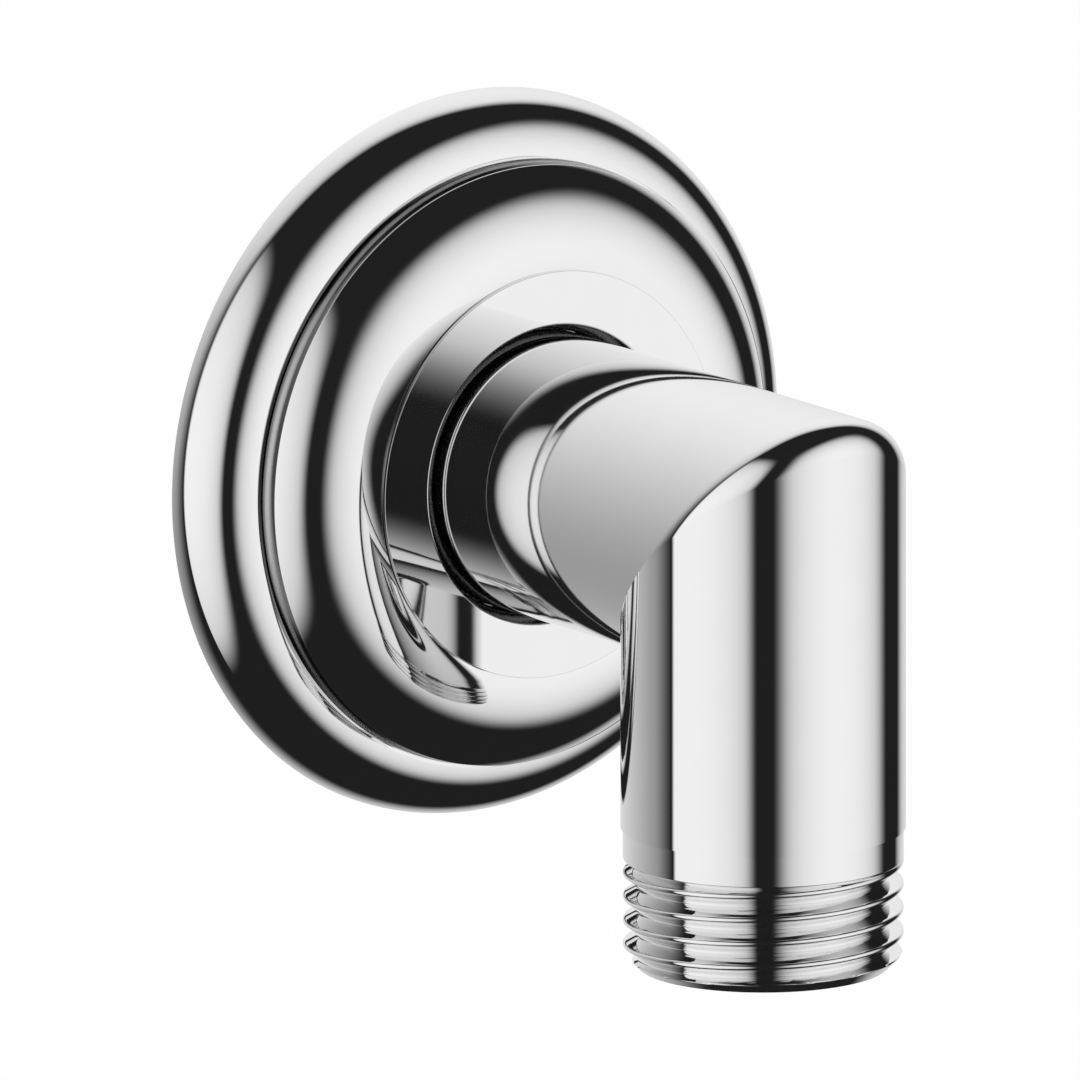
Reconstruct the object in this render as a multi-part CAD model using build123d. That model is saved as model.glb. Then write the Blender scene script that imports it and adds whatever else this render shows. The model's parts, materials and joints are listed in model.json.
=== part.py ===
"""Wall outlet elbow for a shower hose: a mitred brass elbow, its stepped wall rosette and the
non-return valve in its outlet.

Millimetres. The origin is where the inlet axis meets the wall. The wall is the plane y = 0, the
elbow stands out along -Y, +Z is up and the outlet points down."""
from build123d import *
import os
from math import atan, cos, radians, sin, sqrt, tan

# Elbow
tube_diameter = 21.3
reach = 36.9                    # wall to outlet axis
drop = 32.6                     # inlet axis to outlet end
mitre_round = 2.5               # ball radius that rounds the outer half of the mitre
waterway_diameter = 12.0

# Threaded ends, plain cylinders at the major diameter of a G 1/2 pipe thread
thread_diameter = 20.955
outlet_length = 10.6            # foot of the plain tube to outlet end
outlet_chamfer = 1.1
inlet_length = 16.0             # how far the inlet end reaches into the wall
inlet_chamfer = 1.0

# Rosette, from the tube outwards
slide_clearance = 0.05          # its hub over the tube
mouth_gap = 0.65                # tube to the hole in the front face
mouth_round = 0.25
face_width = 3.86               # flat front face
face_step = 0.24                # face above the arc round it
face_round = 0.06
inner_round = 8.08              # inner step, an arc that starts just inside its top
inner_slope = -4.2              # degrees that it slopes there
edge_slope = 56.5               # degrees that it slopes at its outer edge
edge_round = 0.25
step_rise = 1.452               # wall between the two steps
step_lean = 7.0                 # degrees that this wall leans inwards
step_groove_width = 0.25        # groove at the foot of this wall
step_groove_cut = 0.8
rim_round = 5.0                 # outer step
rim_turn = 81.0                 # degrees of its round
rim_edge = 0.1                  # upright edge of the rim at the wall
shell_wall = 1.8
hub_wall = 1.35
hub_tail = 1.35                 # hub behind the seal groove

# Seals of the rosette
seal_clearance = 0.02
neck_groove_cut = 1.7           # tube to the bottom of the groove in the hub
neck_groove_width = 2.2
neck_groove_setback = 1.2       # front face to groove
gasket_inset = 2.0              # edge of the rim to wall gasket
gasket_width = 3.0
gasket_thickness = 1.2

# Non-return valve, from its inlet bore outwards and from the shoulder of its socket down
housing_inlet_diameter = 8.8
housing_length = 15.0
housing_wall = 1.0
housing_clearance = 0.1         # housing in its socket
socket_spare = 0.5              # socket beyond the housing
valve_groove_lead = 1.6         # shoulder to seal groove
valve_groove_width = 2.0
valve_groove_cut = 1.2
seat_land = 1.0                 # seal groove to the edge of the 45 degree seat
seal_cord = 1.6                 # poppet seal
seal_offset = 0.2               # edge of the seat to the middle of the seal's cord
seat_gap = 0.1                  # seal to seat at rest
flow_gap = 1.0                  # poppet to chamber wall
poppet_thickness = 1.3
nose_height = 1.8
nose_tip_diameter = 4.5
nose_taper = 0.95
stem_diameter = 2.2
stem_clearance = 0.1
stem_engagement = 1.6           # stem in the guide's hub at rest
guide_setback = 0.6             # guide to the housing's mouth
guide_thickness = 1.8
guide_ring_width = 0.85
guide_hub_diameter = 5.2
guide_hub_rise = 1.0
spoke_width = 1.3
spoke_count = 3
spring_wire = 0.4
spring_turns = 4
spring_hub_clearance = 0.4
spring_clearance = 0.03

# Elbow sizes worked out
tube_r = tube_diameter / 2
thread_r = thread_diameter / 2
waterway_r = waterway_diameter / 2
neck_drop = drop - outlet_length
far = 2 * (reach + drop)        # larger than the part, for cutting


def arc_width(radius, start, end):
    """How far an arc goes outwards between two slopes in degrees."""
    return radius * (sin(radians(end)) - sin(radians(start)))


def arc_fall(radius, start, end):
    """How far an arc goes down between two slopes in degrees."""
    return radius * (cos(radians(start)) - cos(radians(end)))


# Rosette sizes worked out
wall_slope = 90 - step_lean
hub_bore_r = tube_r + slide_clearance
mouth_r = tube_r + mouth_gap
face_r = mouth_r + mouth_round + face_width
face_edge_r = face_r + face_round
inner_r = face_edge_r + arc_width(inner_round, inner_slope, edge_slope)
step_r = inner_r + arc_width(edge_round, edge_slope, wall_slope)
step_foot_r = step_r + step_rise * tan(radians(step_lean))
rim_inner_r = step_foot_r + step_groove_width
rim_r = rim_inner_r + rim_round * (1 - cos(radians(rim_turn)))
cavity_r = step_r - shell_wall
neck_groove_r = tube_r + neck_groove_cut
gasket_r = rim_r - gasket_inset
rim_top = rim_edge + rim_round * sin(radians(rim_turn))
step_groove_floor = rim_top - step_groove_cut
step_top = rim_top + step_rise
inner_height = step_top + arc_fall(edge_round, edge_slope, wall_slope)
face_foot = inner_height + arc_fall(inner_round, inner_slope, edge_slope)
face_height = face_foot + face_step
neck_groove_front = face_height - neck_groove_setback
neck_groove_back = neck_groove_front - neck_groove_width

# Valve sizes worked out
inlet_r = housing_inlet_diameter / 2
seal_ring_r = inlet_r + seal_offset
poppet_r = seal_ring_r + seal_cord / 2
chamber_r = poppet_r + flow_gap
housing_r = chamber_r + housing_wall
socket_r = housing_r + housing_clearance
valve_groove_r = housing_r - valve_groove_cut
stem_r = stem_diameter / 2
guide_hub_r = guide_hub_diameter / 2
spring_r = guide_hub_r + spring_hub_clearance + spring_wire / 2
socket_top = drop - socket_spare - housing_length
seat_depth = valve_groove_lead + valve_groove_width + seat_land
seal_depth = seat_depth + seal_offset + (seal_cord / 2 + seat_gap) * sqrt(2)
poppet_top = seal_depth + seal_cord / 2 + seal_clearance
poppet_back = poppet_top + poppet_thickness
guide_back = housing_length - guide_setback
guide_top = guide_back - guide_thickness
guide_hub_top = guide_top - guide_hub_rise

# Section planes: (radius, distance out from the wall) and (radius, depth below the socket's shoulder)
inlet_axis = Axis((0, 0, 0), (0, 1, 0))
outlet_axis = Axis((0, -reach, 0), (0, 0, -1))
from_wall = Plane(origin=(0, 0, 0), x_dir=(1, 0, 0), z_dir=(0, 0, -1))
from_shoulder = Plane(origin=(0, -reach, -socket_top), x_dir=(1, 0, 0), z_dir=(0, 1, 0))


def turned_on_inlet(section):
    return revolve(from_wall * section, inlet_axis)


def turned_on_outlet(section):
    return revolve(from_shoulder * section, outlet_axis)


def outline(*points):
    """Section bounded by straight runs."""
    return make_face(Polyline(*points, close=True))


def ring_section(inner_r, outer_r, start, end):
    """Rectangular section of a ring."""
    return outline((inner_r, start), (outer_r, start), (outer_r, end), (inner_r, end))


def cord_section(ring_r, middle, cord_r):
    """Round section of a sealing ring."""
    return Pos(ring_r, middle) * Circle(cord_r)


def along_inlet(radius, start, end):
    """Cylinder on the inlet axis, between two distances out from the wall."""
    cylinder = Cylinder(radius, end - start, align=(Align.CENTER, Align.CENTER, Align.MIN))
    return Pos(0, -start, 0) * Rot(90, 0, 0) * cylinder


def along_outlet(radius, top, bottom):
    """Cylinder on the outlet axis, between two distances below the inlet axis."""
    cylinder = Cylinder(radius, bottom - top, align=(Align.CENTER, Align.CENTER, Align.MIN))
    return Pos(0, -reach, -top) * Rot(180, 0, 0) * cylinder


def end_chamfered(cylinder, axis, size):
    """Chamfer the edge of the end face furthest along the axis."""
    return chamfer(cylinder.faces().sort_by(axis)[-1].edges(), size)


def mitre_side(towards_wall):
    """The half of space on one side of the mitre plane."""
    side = Align.MIN if towards_wall else Align.MAX
    half = Box(far, far, far, align=(Align.CENTER, side, Align.CENTER))
    return Pos(0, -reach, 0) * Rot(45, 0, 0) * half


def mitred_pipe(radius, start, bottom):
    """Two equal cylinders cut at 45 degrees where the inlet axis meets the outlet axis."""
    inlet_leg = along_inlet(radius, start, reach + 2 * radius) & mitre_side(True)
    outlet_leg = along_outlet(radius, -2 * radius, bottom) & mitre_side(False)
    return inlet_leg + outlet_leg


def rounded_mitre(radius, start, bottom, ball):
    """A mitred pipe whose outer crease is rounded by a rolling ball, down to nothing at the sides.

    The ball's centre follows the crease of a pipe that is smaller by the ball's radius. The ball
    touches each leg along a plane curve, so the rounding fills a wedge between those two planes."""
    core_r = radius - ball
    low = atan(core_r / radius)
    high = radians(90) - low
    rays = [(far * cos(angle), far * sin(angle)) for angle in (low, high)]
    side_view = Plane(origin=(0, -reach, 0), x_dir=(0, -1, 0), z_dir=(-1, 0, 0))
    wedge = extrude(side_view * outline((0, 0), *rays), amount=far, both=True)

    mitre_plane = Plane(origin=(0, -reach, 0), x_dir=(1, 0, 0), z_dir=(0, -1, -1))
    crease = mitre_plane * EllipticalCenterArc((0, 0), core_r, core_r * sqrt(2), start_angle=0, arc_size=180)
    rolled = sweep(Plane(origin=crease @ 0, z_dir=crease % 0) * Circle(ball), path=crease)
    core = mitred_pipe(core_r, start, bottom)
    return (mitred_pipe(radius, start, bottom) - wedge) + (wedge & (rolled + core))


def elbow_body():
    """Mitred tube with a threaded end each way, a mitred water way and the socket of the valve."""
    tube = rounded_mitre(tube_r, 0, neck_drop, mitre_round)
    outlet_end = end_chamfered(along_outlet(thread_r, neck_drop, drop), outlet_axis, outlet_chamfer)
    inlet_end = end_chamfered(along_inlet(thread_r, -inlet_length, 0), inlet_axis, inlet_chamfer)
    waterway = mitred_pipe(waterway_r, -inlet_length, drop)
    socket = along_outlet(socket_r, socket_top, drop)
    return tube + outlet_end + inlet_end - waterway - socket


def falling_arc(start_r, start_height, radius, start, end):
    """Arc of a section that falls away outwards between two slopes."""
    centre = (start_r - radius * sin(radians(start)), start_height - radius * cos(radians(start)))
    return CenterArc(centre, radius, 90 - end, end - start)


def rosette_skin():
    """Section of the rosette filled in to the axis: rim, groove, leaning wall, inner step and flat face."""
    rim = CenterArc((rim_r - rim_round, rim_edge), rim_round, 0, rim_turn)
    wall = Polyline((rim_inner_r, rim_top), (rim_inner_r, step_groove_floor), (step_foot_r, step_groove_floor),
                    (step_foot_r, rim_top), (step_r, step_top))
    edge = falling_arc(inner_r, inner_height, edge_round, edge_slope, wall_slope)
    inner_step = falling_arc(face_edge_r, face_foot, inner_round, inner_slope, edge_slope)
    face_wall = Line((face_edge_r, face_foot), (face_edge_r, face_height - face_round))
    face_edge = CenterArc((face_r, face_height - face_round), face_round, 0, 90)
    inside = Polyline((face_r, face_height), (0, face_height), (0, 0), (rim_r, 0), (rim_r, rim_edge))
    return make_face([rim, *wall.edges(), edge, inner_step, face_wall, face_edge, *inside.edges()])


def rosette_mouth():
    """Section of the hole in the front face, round the tube and down to the seal groove, with a rounded edge."""
    edge_r = mouth_r + mouth_round
    edge = CenterArc((edge_r, face_height - mouth_round), mouth_round, 90, 90)
    inside = Polyline((mouth_r, face_height - mouth_round), (mouth_r, neck_groove_front), (0, neck_groove_front),
                      (0, face_height), (edge_r, face_height))
    return make_face([edge, *inside.edges()])


def rosette():
    """One turned shell with a hub that slides over the tube."""
    ceiling = face_height - shell_wall
    hollow = outline((0, 0), (cavity_r, 0), (cavity_r, step_top), (face_r, ceiling), (0, ceiling))
    hub = ring_section(0, neck_groove_r + hub_wall, neck_groove_back - hub_tail, ceiling)
    bore = ring_section(0, hub_bore_r, 0, neck_groove_back)
    neck_groove = ring_section(0, neck_groove_r, neck_groove_back, neck_groove_front)
    gasket_groove = ring_section(gasket_r - gasket_width, gasket_r, 0, gasket_thickness)
    section = rosette_skin() - (hollow - hub) - bore - neck_groove - rosette_mouth() - gasket_groove
    return turned_on_inlet(section)


def rosette_o_ring():
    """Cord between the tube and the bottom of the groove in the rosette's hub."""
    cord_r = neck_groove_cut / 2 - seal_clearance
    middle = neck_groove_back + neck_groove_width / 2
    return turned_on_inlet(cord_section(tube_r + neck_groove_cut / 2, middle, cord_r))


def wall_gasket():
    """Flat ring in the back of the rim, flush with the wall."""
    inner_r = gasket_r - gasket_width + seal_clearance
    return turned_on_inlet(ring_section(inner_r, gasket_r - seal_clearance, 0, gasket_thickness - seal_clearance))


def valve_housing():
    """Sleeve with a seal groove outside, an inlet bore and a 45 degree seat into the chamber."""
    groove_end = valve_groove_lead + valve_groove_width
    sleeve = outline((inlet_r, 0), (housing_r, 0), (housing_r, housing_length), (chamber_r, housing_length),
                     (chamber_r, seat_depth + chamber_r - inlet_r), (inlet_r, seat_depth))
    return turned_on_outlet(sleeve - ring_section(valve_groove_r, housing_r, valve_groove_lead, groove_end))


def valve_o_ring():
    """Cord between the housing's groove and the wall of the socket."""
    cord_r = (socket_r - valve_groove_r) / 2 - seal_clearance
    middle = valve_groove_lead + valve_groove_width / 2
    return turned_on_outlet(cord_section((socket_r + valve_groove_r) / 2, middle, cord_r))


def valve_guide():
    """Spoked ring in the mouth of the housing, with the hub that guides the poppet's stem."""
    ring_r = chamber_r - seal_clearance
    stem_hole_r = stem_r + stem_clearance
    ring = turned_on_outlet(ring_section(ring_r - guide_ring_width, ring_r, guide_top, guide_back))
    hub = turned_on_outlet(ring_section(stem_hole_r, guide_hub_r, guide_hub_top, guide_back))
    spoke_start = (stem_hole_r + guide_hub_r) / 2
    spoke_length = ring_r - guide_ring_width / 2 - spoke_start
    spoke = Pos(spoke_start, 0, guide_top) * Box(spoke_length, spoke_width, guide_thickness,
                                                 align=(Align.MIN, Align.CENTER, Align.MIN))
    downwards = Plane(origin=from_shoulder.origin, x_dir=(1, 0, 0), z_dir=(0, 0, -1))
    return ring + hub + [downwards * Rot(0, 0, n * 360 / spoke_count) * spoke for n in range(spoke_count)]


def valve_poppet():
    """Disc with a tapered nose that carries the seal, and a stem that slides in the guide."""
    neck_r = seal_ring_r - seal_cord / 2 - seal_clearance
    nose_top = poppet_top - nose_height
    stem_end = guide_hub_top + stem_engagement
    section = outline((0, nose_top), (nose_tip_diameter / 2, nose_top), (neck_r, nose_top + nose_taper),
                      (neck_r, poppet_top), (poppet_r, poppet_top), (poppet_r, poppet_back),
                      (stem_r, poppet_back), (stem_r, stem_end), (0, stem_end))
    return turned_on_outlet(section)


def poppet_seal():
    return turned_on_outlet(cord_section(seal_ring_r, seal_depth, seal_cord / 2))


def valve_spring():
    """Compression spring round the guide's hub, from its spokes to the back of the poppet.

    Each half turn is a half circle, tilted so that it climbs to where the next one starts."""
    end_gap = spring_wire / 2 + spring_clearance
    climb = (guide_top - poppet_back - 2 * end_gap) / (2 * spring_turns)
    foot = Pos(0, -reach, end_gap - socket_top - guide_top)
    wire = Plane(origin=(spring_r, 0, 0), z_dir=(0, 1, 0)) * Circle(spring_wire / 2)
    half_turn = revolve(wire, Axis((0, 0, climb / 2), (climb / 2, 0, spring_r)), 180)
    return Part() + [foot * Pos(0, 0, n * climb) * Rot(0, 0, n * 180) * half_turn for n in range(2 * spring_turns)]


pieces = [elbow_body, rosette, rosette_o_ring, wall_gasket, valve_housing, valve_o_ring, valve_guide,
          valve_poppet, poppet_seal, valve_spring]
os.makedirs("parts", exist_ok=True)
for piece in pieces:
    export_step(piece(), f"parts/{piece.__name__}.step")
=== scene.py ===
"""Looks of the wall outlet elbow: polished chrome with cut threads, seals and valve, in a small studio.

Metres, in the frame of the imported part. The wall is y = 0, the elbow stands out along -Y and the
outlet points down."""
import json
from math import cos, pi, radians, sin, tan

import bpy
import numpy as np
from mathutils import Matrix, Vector

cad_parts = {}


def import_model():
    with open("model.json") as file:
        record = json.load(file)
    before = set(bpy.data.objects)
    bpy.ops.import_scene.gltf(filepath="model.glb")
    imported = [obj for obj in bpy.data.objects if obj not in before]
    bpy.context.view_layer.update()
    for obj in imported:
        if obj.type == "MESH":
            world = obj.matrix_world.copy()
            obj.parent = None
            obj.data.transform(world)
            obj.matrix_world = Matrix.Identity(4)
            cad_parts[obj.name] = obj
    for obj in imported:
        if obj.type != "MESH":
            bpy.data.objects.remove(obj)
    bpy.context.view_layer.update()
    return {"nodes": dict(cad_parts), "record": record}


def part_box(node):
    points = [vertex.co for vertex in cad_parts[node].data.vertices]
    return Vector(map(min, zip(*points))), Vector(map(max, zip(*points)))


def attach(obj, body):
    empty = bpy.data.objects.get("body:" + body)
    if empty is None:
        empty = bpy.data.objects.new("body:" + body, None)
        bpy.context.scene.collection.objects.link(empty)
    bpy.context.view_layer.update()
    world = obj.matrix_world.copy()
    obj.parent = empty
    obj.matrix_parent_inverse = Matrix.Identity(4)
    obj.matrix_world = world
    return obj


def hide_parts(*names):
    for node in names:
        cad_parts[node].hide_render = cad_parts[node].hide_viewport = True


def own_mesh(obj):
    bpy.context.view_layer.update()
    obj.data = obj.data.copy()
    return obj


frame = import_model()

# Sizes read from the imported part
body_low, body_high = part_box("elbow_body")
rosette_low, rosette_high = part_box("rosette")
mounts = {mount["name"]: mount for mount in frame["record"]["mounts"]}
slot_colours = {finish["slot"]: finish["base_color"] for finish in frame["record"]["materials"]}
thread_r = mounts["outlet_thread"]["dims"]["r_mm"] / 1000
reach = -mounts["outlet_thread"]["pos_m"][1]
tube_r = body_high.x
drop = -body_low.z
inlet_length = body_high.y
rim_r = rosette_high.x
face_height = -rosette_low.y

# Elbow
mitre_round = 0.0025
waterway_r = 0.006
socket_r = 0.0075
socket_depth = 0.0155
outlet_length = 0.0106
outlet_chamfer = 0.0011
inlet_chamfer = 0.001
neck_drop = drop - outlet_length
socket_top = drop - socket_depth

# Pipe thread, 14 turns to the inch, 55 degree flanks with rounded crests and roots.
# A run-out is where the groove starts and where it is full: below the inlet's axis, or into the wall.
thread_pitch = 0.0254 / 14
flank = radians(27.5)
crest_round = 0.137329 * thread_pitch
outlet_crest = 0.00125
outlet_runout = (0.0243, 0.0247)
inlet_crest = 0.0
inlet_runout = (0.0, 0.0015)

# Rosette
slide_clearance = 0.00005
mouth_gap = 0.00065
mouth_round = 0.00025
face_width = 0.00386
face_round = 0.00003
inner_round = 0.00808
inner_slope = radians(-4.2)
edge_slope = radians(56.5)
edge_round = 0.00025
step_rise = 0.001452
step_lean = radians(7)
step_groove_width = 0.00025
step_groove_cut = 0.0003
rim_round = 0.005
rim_turn = radians(81)
rim_edge = 0.0001
shell_wall = 0.0018
hub_wall = 0.00135
hub_tail = 0.00135
neck_groove_cut = 0.0017
neck_groove_width = 0.0022
neck_groove_setback = 0.0012
gasket_inset = 0.002
gasket_width = 0.003
gasket_thickness = 0.0012
mouth_r = tube_r + mouth_gap
mouth_edge_r = mouth_r + mouth_round
face_r = mouth_edge_r + face_width
rim_top = rim_edge + rim_round * sin(rim_turn)
step_top = rim_top + step_rise

# Spring of the valve
spring_wire_r = 0.0002
spring_turns = 4

# Mesh fineness
around_body = 240
around_rosette = 400
thread_rows_per_turn = 24
mitre_steps = 16
around_spring = 12
spring_steps_per_turn = 48
arc_step = radians(2.5)
same_point = 1e-8                     # points that are closer than this become one
tiny = 1e-9
small_step = thread_pitch / 200       # distance and angle over which a thread's slope is measured
small_turn = 0.002


def new_piece(name, points, faces, smooth, material):
    """Object with a mesh of points and faces. smooth has one value for each face."""
    mesh = bpy.data.meshes.new(name)
    mesh.from_pydata([tuple(p) for p in points], [], faces)
    mesh.polygons.foreach_set("use_smooth", smooth)
    mesh.materials.append(material)
    piece = bpy.data.objects.new(name, mesh)
    bpy.context.scene.collection.objects.link(piece)
    return piece


def numbered(rings):
    """Number of each point of each ring, and the points.

    Points that fall together in neighbouring rings become one."""
    index = np.zeros((len(rings), len(rings[0])), int)
    points = []
    for k, ring in enumerate(rings):
        for j, point in enumerate(ring):
            if k and np.linalg.norm(point - rings[k - 1][j]) < same_point:
                index[k, j] = index[k - 1, j]
            else:
                index[k, j] = len(points)
                points.append(point)
    return index, points


def loft(name, strips, material):
    """Closed skin through a loop of rings, with the surface's own normals.

    Each strip holds the ring that it starts from and its normals at both ends. It goes to the
    next strip's ring, and the last one back to the first."""
    index, points = numbered([ring for ring, _, _ in strips])
    faces = []
    normals = []
    for k, (_, start, end) in enumerate(strips):
        first = index[k]
        after = index[(k + 1) % len(strips)]
        for j in range(len(first)):
            i = (j + 1) % len(first)
            corners = [(first[j], start[j]), (after[j], end[j]), (after[i], end[i]), (first[i], start[i])]
            kept = [c for n, c in enumerate(corners) if c[0] != corners[n - 1][0]]
            if len(kept) > 2:
                faces.append([int(c[0]) for c in kept])
                normals.extend(c[1] for c in kept)
    piece = new_piece(name, points, faces, [True] * len(faces), material)
    piece.data.normals_split_custom_set([tuple(n) for n in normals])
    return piece


def straight(start, end):
    """Run of a section from one (radius, distance) point to the next, with its outward normal."""
    along = np.subtract(end, start)
    normal = np.array((along[1], -along[0])) / np.hypot(*along)
    return [(start, normal), (end, normal)]


def runs_through(*points):
    """Straight runs of a section through its points."""
    return [straight(a, b) for a, b in zip(points, points[1:])]


def rounded(centre, radius, start, end):
    """Arc of a section about a centre inside the solid."""
    steps = max(3, int(abs(end - start) / arc_step))
    run = []
    for angle in np.linspace(start, end, steps + 1):
        point = (centre[0] + radius * cos(angle), centre[1] + radius * sin(angle))
        run.append((point, np.array((cos(angle), sin(angle)))))
    return run


def falling(start, radius, slope, end_slope):
    """Arc of a section from where it ends, further out and lower, back up to its start."""
    centre = (start[0] - radius * sin(slope), start[1] - radius * cos(slope))
    return rounded(centre, radius, pi / 2 - end_slope, pi / 2 - slope)


def rosette_front():
    """Section of the rosette's front: rim, groove, leaning step, raised face and the edge of the mouth.

    Also the radius at the top of the step."""
    face_edge_r = face_r + face_round
    wall_slope = pi / 2 - step_lean
    inner_height = step_top + edge_round * (cos(edge_slope) - cos(wall_slope))
    face_foot = inner_height + inner_round * (cos(inner_slope) - cos(edge_slope))
    inner_step = falling((face_edge_r, face_foot), inner_round, inner_slope, edge_slope)
    edge = falling(inner_step[0][0], edge_round, edge_slope, wall_slope)
    step_r = edge[0][0][0]
    step_foot_r = step_r + step_rise * tan(step_lean)
    rim_inner_r = step_foot_r + step_groove_width
    groove_floor = rim_top - step_groove_cut

    rim = [straight((rim_r, 0), (rim_r, rim_edge)),
           rounded((rim_r - rim_round, rim_edge), rim_round, 0, rim_turn)]
    step = runs_through((rim_inner_r, rim_top), (rim_inner_r, groove_floor), (step_foot_r, groove_floor),
                        (step_foot_r, rim_top), (step_r, step_top))
    face = [straight((face_edge_r, face_foot), (face_edge_r, face_height - face_round)),
            rounded((face_r, face_height - face_round), face_round, 0, pi / 2),
            straight((face_r, face_height), (mouth_edge_r, face_height)),
            rounded((mouth_edge_r, face_height - mouth_round), mouth_round, pi / 2, pi)]
    return rim + step + [edge, inner_step] + face, step_r


def rosette_back(step_r):
    """Section from the mouth back to the rim: hub with the O-ring's groove, hollow and gasket groove."""
    hub_bore_r = tube_r + slide_clearance
    groove_r = tube_r + neck_groove_cut
    groove_front = face_height - neck_groove_setback
    groove_back = groove_front - neck_groove_width
    hub_back = groove_back - hub_tail
    hub_r = groove_r + hub_wall
    ceiling = face_height - shell_wall
    cavity_r = step_r - shell_wall
    gasket_r = rim_r - gasket_inset
    gasket_bore_r = gasket_r - gasket_width

    return runs_through((mouth_r, face_height - mouth_round), (mouth_r, groove_front),
                        (groove_r, groove_front), (groove_r, groove_back),
                        (hub_bore_r, groove_back), (hub_bore_r, hub_back),
                        (hub_r, hub_back), (hub_r, ceiling),
                        (face_r, ceiling), (cavity_r, step_top), (cavity_r, 0),
                        (gasket_bore_r, 0), (gasket_bore_r, gasket_thickness),
                        (gasket_r, gasket_thickness), (gasket_r, 0), (rim_r, 0))


def on_inlet(radius, out, angle):
    """Point at a radius and a distance out from the wall, angle 0 at the top."""
    return np.array((radius * sin(angle), -out, radius * cos(angle)))


def rosette_strips():
    """The rosette's section, turned about the inlet's axis."""
    turns = np.linspace(0, 2 * pi, around_rosette, endpoint=False)

    def ring(radius, out):
        return np.array([on_inlet(radius, out, angle) for angle in turns])

    front, step_r = rosette_front()
    strips = []
    for run in front + rosette_back(step_r):
        for (point, normal), (_, next_normal) in zip(run, run[1:]):
            strips.append((ring(*point), ring(*normal), ring(*next_normal)))
    return strips


def thread_depth(offset):
    """How far the thread lies below its crest, at an axial distance from the middle of a crest."""
    across = np.abs((offset + thread_pitch / 2) % thread_pitch - thread_pitch / 2)
    crest = crest_round * cos(flank)
    crest_drop = crest_round * (1 - sin(flank))
    full = 2 * crest_drop + (thread_pitch / 2 - 2 * crest) / tan(flank)
    on_crest = crest_round - np.sqrt(np.maximum(crest_round ** 2 - across ** 2, 0))
    on_flank = crest_drop + (across - crest) / tan(flank)
    from_root = thread_pitch / 2 - across
    in_root = full - crest_round + np.sqrt(np.maximum(crest_round ** 2 - from_root ** 2, 0))
    return np.where(across < crest, on_crest, np.where(from_root < crest, in_root, on_flank))


def eased(value, start, end):
    """0 before start and 1 after end, with a smooth rise between."""
    share = np.clip((value - start) / (end - start), 0, 1)
    return share * share * (3 - 2 * share)


def thread_radius(along, angle, crest, runout, chamfer_start):
    """Radius of a right-hand thread at a distance along its axis, with its run-out and end chamfer."""
    depth = thread_depth(along - crest + thread_pitch * angle / (2 * pi))
    cut = thread_r - depth * eased(along, *runout)
    return np.minimum(cut, thread_r - np.maximum(along - chamfer_start, 0))


def thread_rows(start, end, chamfer, crest, runout, leg):
    """Rings and normals of a threaded end.

    leg holds its radial, axial and sideways directions and its origin."""
    radial, axial, sideways, origin = leg
    rows = int((end - start) / thread_pitch * thread_rows_per_turn)
    rings = []
    normals = []

    def radius(along, turn=0.0):
        return thread_radius(along, angles + turn, crest, runout, end - chamfer)

    for along in np.linspace(start, end, rows + 1):
        r = radius(along)
        slope = (radius(along + small_step) - radius(along - small_step)) / (2 * small_step)
        twist = (radius(along, small_turn) - radius(along, -small_turn)) / (2 * small_turn) / r
        rings.append(origin + r[:, None] * radial + along * axial)
        normal = radial - slope[:, None] * axial - twist[:, None] * sideways
        normals.append(normal / np.linalg.norm(normal, axis=1)[:, None])
    return rings, normals


# Directions of the elbow's two legs, with a row for each point of a ring. outward is positive on the
# outer half of the bend.
angles = np.linspace(0, 2 * pi, around_body, endpoint=False)
to_side = np.sin(angles)
outward = np.cos(angles)
zero = np.zeros_like(angles)
inlet_radial = np.stack((to_side, zero, outward), 1)
inlet_sideways = np.stack((outward, zero, -to_side), 1)
outlet_radial = np.stack((to_side, -outward, zero), 1)
outlet_sideways = np.stack((outward, to_side, zero), 1)
to_room = np.array((0.0, -1.0, 0.0))
down = np.array((0.0, 0.0, -1.0))
corner = np.array((0.0, -reach, 0.0))


def inlet_ring(radius, out):
    """Ring round the inlet's axis, at a distance out from the wall."""
    return radius * inlet_radial + np.multiply.outer(out + zero, to_room)


def outlet_ring(radius, depth):
    """Ring round the outlet's axis, at a depth below the inlet's."""
    return corner + radius * outlet_radial + np.multiply.outer(depth + zero, down)


def mitre_ring(radius):
    """Ring where the two legs meet."""
    return corner + radius * (inlet_radial + np.outer(outward, to_room))


def strip(ring, start, end=None):
    """Strip of the elbow's skin from a ring on, with its normals at both ends, or one for both."""
    if end is None:
        end = start
    return ring, np.broadcast_to(start, ring.shape), np.broadcast_to(end, ring.shape)


def strips_between(rings, normals):
    """Strips from each ring to the next, with smooth normals."""
    return [strip(ring, start, end) for ring, start, end in zip(rings, normals, normals[1:])]


def inlet_end():
    """End face, thread and shoulder of the inlet."""
    leg = (inlet_radial, -to_room, -inlet_sideways, np.zeros(3))
    thread, normals = thread_rows(0, inlet_length, inlet_chamfer, inlet_crest, inlet_runout, leg)
    thread.reverse()
    normals.reverse()
    return [strip(inlet_ring(waterway_r, -inlet_length), -to_room),
            *strips_between(thread, normals),
            strip(thread[-1], -to_room)]


def between_legs(share):
    """Directions part of the way from the inlet's radial directions to the outlet's."""
    whole = np.arccos(np.clip(np.sum(inlet_radial * outlet_radial, 1), -1, 1))
    of_inlet = np.sin((1 - share) * whole)[:, None]
    of_outlet = np.sin(share * whole)[:, None]
    mixed = of_inlet * inlet_radial + of_outlet * outlet_radial
    length = np.linalg.norm(mixed, axis=1)[:, None]
    return np.where(length > tiny, mixed / np.maximum(length, tiny), inlet_radial)


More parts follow.
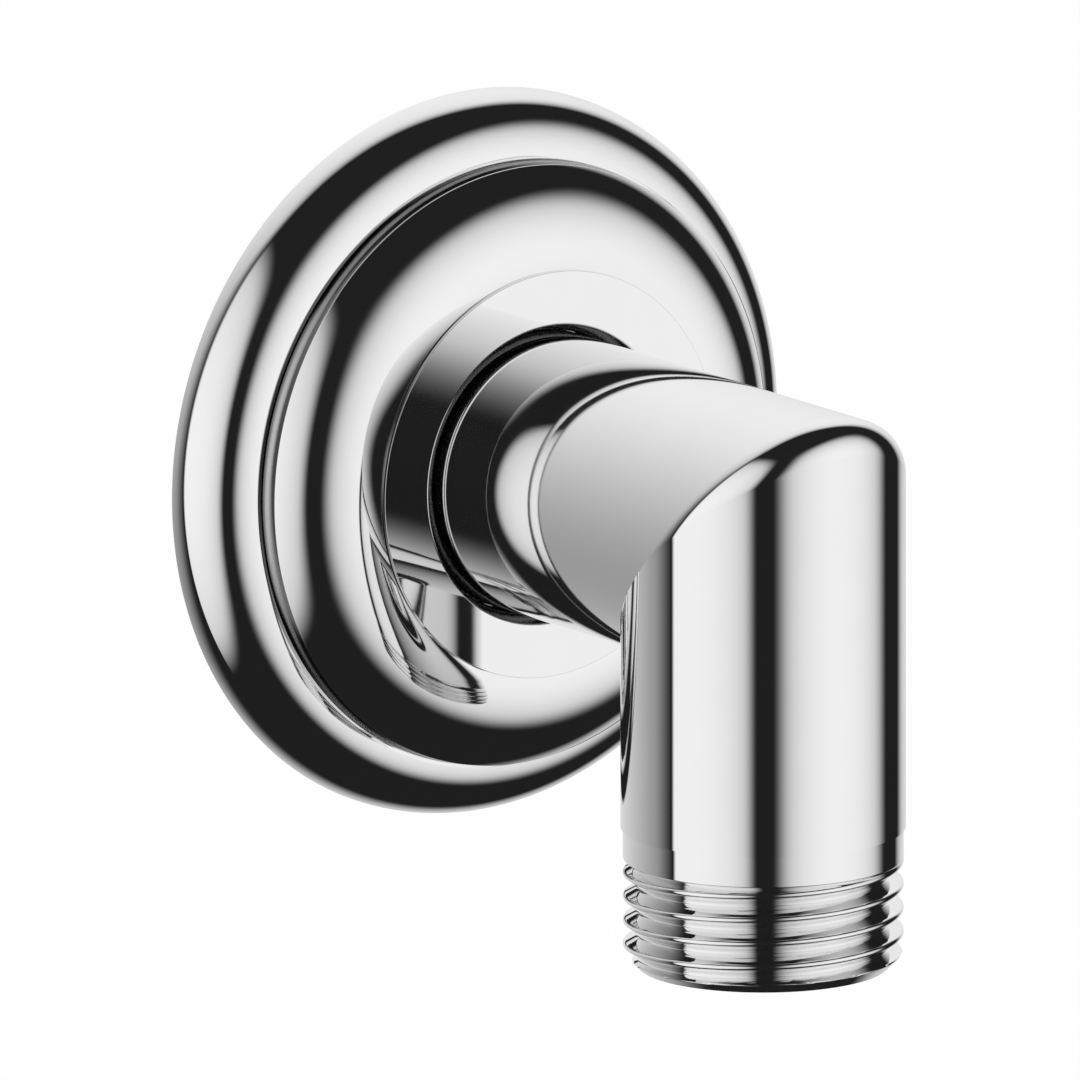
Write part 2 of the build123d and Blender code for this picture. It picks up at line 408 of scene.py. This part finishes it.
def bend():
    """Plain tube down to the neck. A ball rounds its mitre on the outer half, and the inner is sharp."""
    ball_path = tube_r - mitre_round
    centre = corner + ball_path * (inlet_radial + np.outer(np.maximum(outward, 0), to_room))
    crease = mitre_ring(tube_r)
    outer_half = (outward > tiny)[:, None]
    turns = [between_legs(k / mitre_steps) for k in range(mitre_steps + 1)]
    fillet = [np.where(outer_half, centre + mitre_round * turn, crease) for turn in turns]
    return [strip(inlet_ring(tube_r, 0), inlet_radial),
            *strips_between(fillet, turns),
            strip(fillet[-1], outlet_radial),
            strip(outlet_ring(tube_r, neck_drop), down)]


def outlet_end():
    """Thread and end face of the outlet."""
    leg = (outlet_radial, down, outlet_sideways, corner)
    thread, normals = thread_rows(neck_drop, drop, outlet_chamfer, outlet_crest, outlet_runout, leg)
    return [*strips_between(thread, normals), strip(thread[-1], down)]


def water_way():
    """Socket of the valve, and the mitred way back to the inlet's end."""
    return [strip(outlet_ring(socket_r, drop), -outlet_radial),
            strip(outlet_ring(socket_r, socket_top), down),
            strip(outlet_ring(waterway_r, socket_top), -outlet_radial),
            strip(mitre_ring(waterway_r), -inlet_radial)]


def spring(finish):
    """Wire of the valve's spring, a plain helix with flat cut ends."""
    low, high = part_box("valve_spring")
    coil_r = high.x - spring_wire_r
    start = low.z + spring_wire_r
    rise = high.z - low.z - 2 * spring_wire_r
    steps = spring_turns * spring_steps_per_turn
    points = []
    for turn in np.linspace(0, 2 * pi * spring_turns, steps + 1):
        away = np.array((cos(turn), sin(turn), 0))
        middle = (0, -reach, start + rise * turn / (2 * pi * spring_turns)) + coil_r * away
        for angle in np.linspace(0, 2 * pi, around_spring, endpoint=False):
            points.append(middle + spring_wire_r * (cos(angle) * away + np.array((0, 0, sin(angle)))))
    first_end = list(range(around_spring))
    last_end = list(range(steps * around_spring, (steps + 1) * around_spring))[::-1]
    faces = [first_end, last_end]
    for k in range(steps):
        for j in range(around_spring):
            i = (j + 1) % around_spring
            first = k * around_spring
            after = first + around_spring
            faces.append([first + i, first + j, after + j, after + i])
    return new_piece("spring_wire", points, faces, [len(face) == 4 for face in faces], finish)


def add(tree, kind, inputs=None, **settings):
    """A shader node with its settings and its inputs, each a value or another node's output."""
    node = tree.nodes.new(kind)
    for key, value in settings.items():
        setattr(node, key, value)
    for key, value in (inputs or {}).items():
        if isinstance(value, bpy.types.NodeSocket):
            tree.links.new(value, node.inputs[key])
        else:
            node.inputs[key].default_value = value
    return node


def calc(tree, operation, *values):
    """Output of a math node."""
    return add(tree, "ShaderNodeMath", dict(enumerate(values)), operation=operation).outputs[0]


def dot(tree, ray, direction):
    """How much of the ray points along a direction."""
    product = add(tree, "ShaderNodeVectorMath", {0: ray, 1: direction}, operation="DOT_PRODUCT")
    return product.outputs["Value"]


def ramp(tree, value, start, end, smooth=True):
    """0 before start and 1 after end."""
    kind = "SMOOTHSTEP" if smooth else "LINEAR"
    return add(tree, "ShaderNodeMapRange", {"Value": value, "From Min": start, "From Max": end},
               interpolation_type=kind).outputs["Result"]


def spread(tree, pattern, limits):
    """A pattern from 0 to 1, brought between two limits."""
    low, high = limits
    inputs = {"Value": pattern, "To Min": low, "To Max": high}
    return add(tree, "ShaderNodeMapRange", inputs).outputs["Result"]


def clouds(tree, place, grain, detail):
    """Soft noise from 0 to 1."""
    inputs = {"Vector": place, "Scale": grain, "Detail": detail}
    return add(tree, "ShaderNodeTexNoise", inputs).outputs["Fac"]


def grey(tree, level):
    """Colour with one level in red, green and blue."""
    inputs = {"Red": level, "Green": level, "Blue": level}
    return add(tree, "ShaderNodeCombineColor", inputs).outputs["Color"]


def new_material(name):
    """Material with its node tree, its shader and its object coordinates."""
    material = bpy.data.materials.new(name)
    material.use_nodes = True
    tree = material.node_tree
    place = add(tree, "ShaderNodeTexCoord").outputs["Object"]
    return material, tree, tree.nodes["Principled BSDF"], place


def make_metal(tree, shader, pattern, colours, roughness):
    """Metal whose grey and roughness follow a pattern, each between two limits."""
    tree.links.new(grey(tree, spread(tree, pattern, colours)), shader.inputs["Base Color"])
    tree.links.new(spread(tree, pattern, roughness), shader.inputs["Roughness"])
    shader.inputs["Metallic"].default_value = 1.0


def metal(name, colours, roughness, grain):
    """Bare or plated metal, with a little variation in its colour and gloss."""
    material, tree, shader, place = new_material(name)
    make_metal(tree, shader, clouds(tree, place, grain, detail=4.0), colours, roughness)
    return material


def step_chrome_painted_shade():
    """Chrome of the wall between the rosette's steps with painted shade: grey darkened at its foot and top
    as if in shade, lighter and more matt in a ring half way up.
    """
    material, tree, shader, place = new_material("step_chrome_painted_shade")
    wave_rate = 20                              # a wave texture's radians to the metre, at a scale of 1
    scale = 2 * pi / wave_rate / step_rise
    phase = pi + wave_rate * scale * (rim_top + step_rise / 2)
    waves = add(tree, "ShaderNodeTexWave", {"Vector": place, "Scale": scale, "Phase Offset": phase},
                bands_direction="Y").outputs["Fac"]
    ring = ramp(tree, waves, 0.5, 1.0, smooth=False)
    # Painted shade: the grey falls to 0.2 at the wall's foot and top to stand in for the recess's shade,
    # and rises to 0.75 in the ring.
    make_metal(tree, shader, ring, colours=(0.2, 0.75), roughness=(0.1, 0.4))
    return material


def moulded(slot_name, shade, roughness, grain, grease=0.0):
    """Rubber or plastic in its slot's colour, with the mould's fine grain and perhaps a film of grease."""
    relief = 0.1
    relief_depth = 0.0001
    material, tree, shader, place = new_material(slot_name)
    noise = clouds(tree, place, grain, detail=5.0)
    tint = add(tree, "ShaderNodeValToRGB", {"Fac": noise})
    base = slot_colours[slot_name]
    tint.color_ramp.elements[0].color = [shade * part for part in base] + [1]
    tint.color_ramp.elements[1].color = [*base, 1]
    bump = add(tree, "ShaderNodeBump", {"Height": noise, "Strength": relief, "Distance": relief_depth})
    tree.links.new(tint.outputs["Color"], shader.inputs["Base Color"])
    tree.links.new(spread(tree, noise, roughness), shader.inputs["Roughness"])
    tree.links.new(bump.outputs["Normal"], shader.inputs["Normal"])
    shader.inputs["Coat Weight"].default_value = grease
    return material


def paint_step_shade(piece, finish):
    """Give the wall between the rosette's two steps its own chrome, with painted shade."""
    piece.data.materials.append(finish)
    for face in piece.data.polygons:
        radius = Vector((face.center.x, face.center.z)).length
        if radius > face_r and rim_top < -face.center.y < step_top:
            face.material_index = 1


def finish_cad_nodes():
    """Seals and plastics keep their CAD meshes and get the finish of their slot."""
    rubber = moulded("seal_rubber", shade=0.6, roughness=(0.2, 0.35), grain=2500.0, grease=1.0)
    white = moulded("valve_plastic", shade=0.9, roughness=(0.35, 0.5), grain=1500.0)
    blue = moulded("poppet_plastic", shade=0.85, roughness=(0.35, 0.5), grain=1500.0)
    finishes = {"seal_rubber": rubber, "valve_plastic": white, "poppet_plastic": blue}
    for subpart in frame["record"]["subparts"]:
        if subpart["material_slot"] in finishes:
            node = frame["nodes"][subpart["node"]]
            node.data.materials.clear()
            node.data.materials.append(finishes[subpart["material_slot"]])


def floor():
    """Pale matt floor below the outlet, left out of reflections."""
    gap = 0.1
    radius = 1.2
    sides = 96
    bpy.ops.mesh.primitive_circle_add(vertices=sides, radius=radius, fill_type="NGON",
                                      location=(0, 0, -drop - gap))
    disc = bpy.context.object
    disc.name = "floor"
    disc.visible_glossy = False
    material, tree, shader, place = new_material("pale_floor")
    noise = clouds(tree, place, grain=6.0, detail=2.0)
    tree.links.new(grey(tree, spread(tree, noise, (0.99, 1.0))), shader.inputs["Base Color"])
    shader.inputs["Roughness"].default_value = 1.0
    shader.inputs["Specular IOR Level"].default_value = 0.0
    disc.data.materials.append(material)


view_azimuth = radians(-36.697)
view_elevation = radians(12.988)

# Studio: a softbox either side of the camera and a large one behind on the left. Azimuths are from the
# camera's own, positive to the right. Sizes and places are on a box's plane at a distance of 1.
# A side box has a half-width, a half-height, the height of its middle, the power of its fall towards
# its edges and the level below which it fades softly.
left_box_azimuth = radians(-65.26)
left_box = (1.7915, 1.6522, -0.032, 0.676, 0.61)
left_box_edge = -0.2293                     # where it is cut off towards the back
left_box_blur = (0.0866, 0.0827, 0.02)      # that edge's width at eye level, its gain upwards, its least
right_box_azimuth = radians(63.4)
right_box = (1.5178, 1.4595, -0.047, 1.016, 0.731)
back_box_azimuth = radians(-149.5)
back_box_fade = (2.619, 1.308, 1.056)       # near the left box: dark end, full end and power
back_box_end = (-3.02, -1.2505)             # far end: dark and full
back_box_foot = (-1.995, -0.765)
back_box_head = (5.206, 1.621)
back_box_hot_spot = (radians(183.8), radians(33.6))
back_box_level = (0.285, 0.659)             # level square to the hot spot, and its gain towards it
studio_black = 0.0153


def towards(azimuth, elevation=0.0):
    """Direction at an azimuth from the camera's and an elevation."""
    turned_to = view_azimuth + azimuth
    return (sin(turned_to) * cos(elevation), -cos(turned_to) * cos(elevation), sin(elevation))


def on_box(tree, ray, azimuth):
    """Where a ray meets the plane of an upright softbox: sideways, up, and 1 where it is ahead."""
    ahead = dot(tree, ray, towards(azimuth))
    sideways = calc(tree, "DIVIDE", dot(tree, ray, towards(azimuth + pi / 2)), ahead)
    up = calc(tree, "DIVIDE", dot(tree, ray, (0, 0, 1)), ahead)
    return sideways, up, calc(tree, "GREATER_THAN", ahead, 0.0)


def side_box(tree, ray, azimuth, half_width, half_height, middle, fall, foot):
    """Softbox that is brightest in its middle and goes softly to nothing at its edges."""
    sideways, up, ahead = on_box(tree, ray, azimuth)
    light = ahead
    for place, size in ((sideways, half_width), (calc(tree, "SUBTRACT", up, middle), half_height)):
        share = calc(tree, "DIVIDE", place, size)
        across = calc(tree, "SUBTRACT", 1.0, calc(tree, "MULTIPLY", share, share))
        light = calc(tree, "MULTIPLY", light, calc(tree, "MAXIMUM", across, 0.0))
    return calc(tree, "MULTIPLY", calc(tree, "POWER", light, fall), ramp(tree, light, 0.0, foot))


def left_edge(tree, ray):
    """Edge of the left softbox towards the back, sharp at its foot and softer higher up."""
    sideways, up, _ = on_box(tree, ray, left_box_azimuth)
    blur, gain, least = left_box_blur
    width = calc(tree, "MAXIMUM", calc(tree, "MULTIPLY_ADD", up, gain, blur), least)
    past = calc(tree, "DIVIDE", calc(tree, "SUBTRACT", sideways, left_box_edge), width)
    return ramp(tree, past, -0.5, 0.5)


def back_box(tree, ray):
    """Large softbox behind, brightest at its hot spot."""
    sideways, up, ahead = on_box(tree, ray, back_box_azimuth)
    fade_start, fade_end, fade_power = back_box_fade
    fade = calc(tree, "POWER", ramp(tree, sideways, fade_start, fade_end, smooth=False), fade_power)
    level, gain = back_box_level
    light = calc(tree, "MULTIPLY_ADD", dot(tree, ray, towards(*back_box_hot_spot)), gain, level)
    for share in (fade, ramp(tree, sideways, *back_box_end), ramp(tree, up, *back_box_foot),
                  ramp(tree, up, *back_box_head), ahead):
        light = calc(tree, "MULTIPLY", light, share)
    return calc(tree, "MAXIMUM", light, 0.0)


def world():
    """White to the camera and to matt surfaces. In reflections, three softboxes in a dark studio."""
    made = bpy.data.worlds.new("studio")
    bpy.context.scene.world = made
    made.use_nodes = True
    tree = made.node_tree
    tree.nodes.clear()
    ray = add(tree, "ShaderNodeTexCoord").outputs["Generated"]
    left = calc(tree, "MULTIPLY", side_box(tree, ray, left_box_azimuth, *left_box), left_edge(tree, ray))
    right = side_box(tree, ray, right_box_azimuth, *right_box)
    back = back_box(tree, ray)
    light = calc(tree, "ADD", calc(tree, "ADD", left, right), calc(tree, "ADD", back, studio_black))
    studio = add(tree, "ShaderNodeBackground", {"Color": grey(tree, light)})
    white = add(tree, "ShaderNodeBackground", {"Color": (1, 1, 1, 1)})
    path = add(tree, "ShaderNodeLightPath")
    mix = add(tree, "ShaderNodeMixShader",
              {0: path.outputs["Is Glossy Ray"], 1: white.outputs[0], 2: studio.outputs[0]})
    add(tree, "ShaderNodeOutputWorld", {"Surface": mix.outputs[0]})


def camera():
    """Parallel view, fitted to the photo."""
    frame_width = 0.08054
    to_right = 0.005408
    to_up = -0.006765
    distance = 0.6
    right = Vector((cos(view_azimuth), sin(view_azimuth), 0))
    back = Vector((sin(view_azimuth) * cos(view_elevation), -cos(view_azimuth) * cos(view_elevation),
                   sin(view_elevation)))
    up = back.cross(right)
    data = bpy.data.cameras.new("camera")
    data.type = "ORTHO"
    data.ortho_scale = frame_width
    eye = bpy.data.objects.new("camera", data)
    bpy.context.scene.collection.objects.link(eye)
    eye.location = to_right * right + to_up * up + distance * back
    eye.rotation_euler = (pi / 2 - view_elevation, 0, view_azimuth)
    bpy.context.scene.camera = eye


bpy.context.scene.view_settings.view_transform = "Standard"

chrome_finish = metal("polished_chrome", colours=(0.855, 0.875), roughness=(0.02, 0.045), grain=260.0)
elbow = loft("elbow", inlet_end() + bend() + outlet_end() + water_way(), chrome_finish)
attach(elbow, "fitting")
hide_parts("elbow_body")

rosette = loft("rosette_cover", rosette_strips(), chrome_finish)
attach(rosette, "fitting")
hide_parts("rosette")
# The wall between the steps gets chrome with painted shade.
paint_step_shade(rosette, step_chrome_painted_shade())

coil = spring(metal("spring_wire", colours=(0.5, 0.65), roughness=(0.2, 0.35), grain=3000.0))
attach(coil, "fitting")
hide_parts("valve_spring")
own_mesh(coil)

finish_cad_nodes()
floor()
world()
camera()
